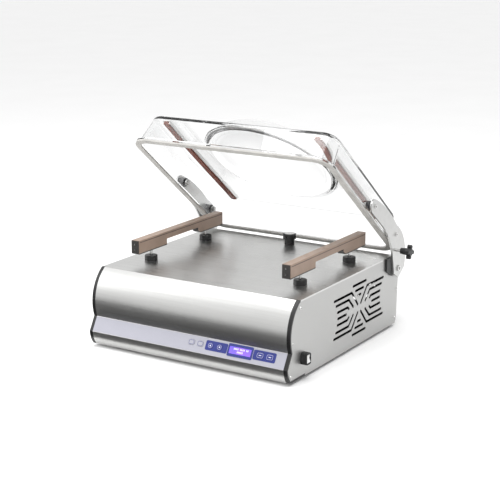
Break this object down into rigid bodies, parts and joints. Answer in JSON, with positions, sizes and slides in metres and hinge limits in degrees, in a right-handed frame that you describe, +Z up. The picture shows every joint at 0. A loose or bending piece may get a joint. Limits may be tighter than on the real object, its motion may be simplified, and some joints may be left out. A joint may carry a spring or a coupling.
{
  "type": "chamber vacuum sealer",
  "caption": "Countertop chamber vacuum sealer with a clear domed lid on rear arms, side seal bars on pistons, a sloped control strip and a steel body.",
  "frame": {"origin": "under the middle of the overall box, on the surface the feet rest on, lid open as in the picture", "axes": "+X to the right seen from the front, -Y to the front, +Z up"},
  "size_m": [0.6794, 0.6284, 0.5853],
  "materials": {
    "brushed_plate": "brushed",
    "front_sheet": "fine horizontal brushing",
    "body_sheet": "satin grey",
    "steel_parts": "satin",
    "fasteners": "bright",
    "black_plastic": "satin",
    "black_rubber": "matt",
    "clear_acrylic": "polished",
    "gasket_foam": "matt",
    "silicone_strip": "matt",
    "aluminium_profile": "satin",
    "bar_core": "anodised black",
    "bar_skin": "taupe glass-cloth laminate",
    "heater_metal": "bright",
    "overlay_film": "satin",
    "keypad_film": "gloss",
    "display_glass": "gloss",
    "button_plastic": "gloss",
    "board": "satin",
    "pump_casting": "cast",
    "iron_core": "varnished",
    "hose_rubber": "matt",
    "white_plastic": "gloss"
  },
  "bodies": {
    "body": {"base_pan": "body_sheet", "chamber_plate": "brushed_plate", "control_board": "board", "control_overlay": "overlay_film", "display_module": "board", "display_window": "display_glass", "edge_trims": "black_plastic", "fan_housing": "black_plastic", "feet": "black_rubber", "front_panel": "front_sheet", "hinge_blocks": "black_plastic", "hinge_brackets": "steel_parts", "keypads": "keypad_film", "piston_collars": "black_plastic", "piston_cylinders": "aluminium_profile", "pivot_bolts": "fasteners", "pivot_nuts": "fasteners", "port_cap": "black_plastic", "port_screen": "steel_parts", "power_inlet": "black_plastic", "pump_motor": "pump_casting", "pump_mounts": "black_rubber", "rear_panel": "body_sheet", "side_panel_left": "body_sheet", "side_panel_right": "body_sheet", "side_screws": "fasteners", "suction_hose": "hose_rubber", "suction_port": "black_plastic", "switch_housing": "black_plastic", "transformer": "iron_core", "vacuum_pump": "pump_casting"},
    "lid": {"counter_profiles": "aluminium_profile", "counter_silicones": "silicone_strip", "lid_arms": "steel_parts", "lid_bolts": "fasteners", "lid_dome": "clear_acrylic", "lid_gasket": "gasket_foam", "lid_nuts": "fasteners", "lid_spacers": "black_rubber"},
    "lid_knob": {"knob_stud": "fasteners", "star_knob": "black_plastic"},
    "seal_bar_left": {"bar_core_left": "bar_core", "bar_cover_left": "bar_skin", "heating_strip_left": "heater_metal", "bar_terminal_left": "black_plastic", "piston_pins_left": "steel_parts"},
    "seal_bar_right": {"bar_core_right": "bar_core", "bar_cover_right": "bar_skin", "heating_strip_right": "heater_metal", "bar_terminal_right": "black_plastic", "piston_pins_right": "steel_parts"},
    "rocker": {"switch_rocker": "white_plastic"},
    "fan": {"fan_rotor": "black_plastic"},
    "button_program_cap": {"button_program": "button_plastic"},
    "button_stop_cap": {"button_stop": "button_plastic"},
    "button_up_cap": {"button_up": "button_plastic"},
    "button_down_cap": {"button_down": "button_plastic"},
    "button_cursor_cap": {"button_cursor": "button_plastic"},
    "button_set_cap": {"button_set": "button_plastic"}
  },
  "joints": [
    {"name": "lid_hinge", "type": "hinge", "parent": "body", "child": "lid", "pos_m": [-0.02435, 0.26646, 0.1685], "axis": [1, 0, 0], "range_deg": [0, 38.4]},
    {"name": "knob_turn", "type": "hinge", "parent": "lid", "child": "lid_knob", "pos_m": [0.30765, 0.2349, 0.2272], "axis": [1, 0, 0], "range_deg": [0, 360]},
    {"name": "seal_bar_left_lift", "type": "slide", "parent": "body", "child": "seal_bar_left", "axis": [0, 0, 1], "range_m": [0, 0.0035]},
    {"name": "seal_bar_right_lift", "type": "slide", "parent": "body", "child": "seal_bar_right", "axis": [0, 0, 1], "range_m": [0, 0.0035]},
    {"name": "rocker_tilt", "type": "hinge", "parent": "body", "child": "rocker", "pos_m": [0.28365, -0.23804, 0.0565], "axis": [0, 1, 0], "range_deg": [0, 12]},
    {"name": "fan_spin", "type": "hinge", "parent": "body", "child": "fan", "pos_m": [0.16565, 0.28877, 0.10298], "axis": [0, 0.9983, -0.0585], "continuous": true},
    {"name": "button_program_press", "type": "slide", "parent": "body", "child": "button_program_cap", "axis": [0, 0.8703, -0.4926], "range_m": [0, 0.0008], "stiffness_N_per_m": 500, "springref_m": -0.0006},
    {"name": "button_stop_press", "type": "slide", "parent": "body", "child": "button_stop_cap", "axis": [0, 0.8703, -0.4926], "range_m": [0, 0.0008], "stiffness_N_per_m": 500, "springref_m": -0.0006},
    {"name": "button_up_press", "type": "slide", "parent": "body", "child": "button_up_cap", "axis": [0, 0.8703, -0.4926], "range_m": [0, 0.0008], "stiffness_N_per_m": 500, "springref_m": -0.0006},
    {"name": "button_down_press", "type": "slide", "parent": "body", "child": "button_down_cap", "axis": [0, 0.8703, -0.4926], "range_m": [0, 0.0008], "stiffness_N_per_m": 500, "springref_m": -0.0006},
    {"name": "button_cursor_press", "type": "slide", "parent": "body", "child": "button_cursor_cap", "axis": [0, 0.8703, -0.4926], "range_m": [0, 0.0008], "stiffness_N_per_m": 500, "springref_m": -0.0006},
    {"name": "button_set_press", "type": "slide", "parent": "body", "child": "button_set_cap", "axis": [0, 0.8703, -0.4926], "range_m": [0, 0.0008], "stiffness_N_per_m": 500, "springref_m": -0.0006}
  ]
}
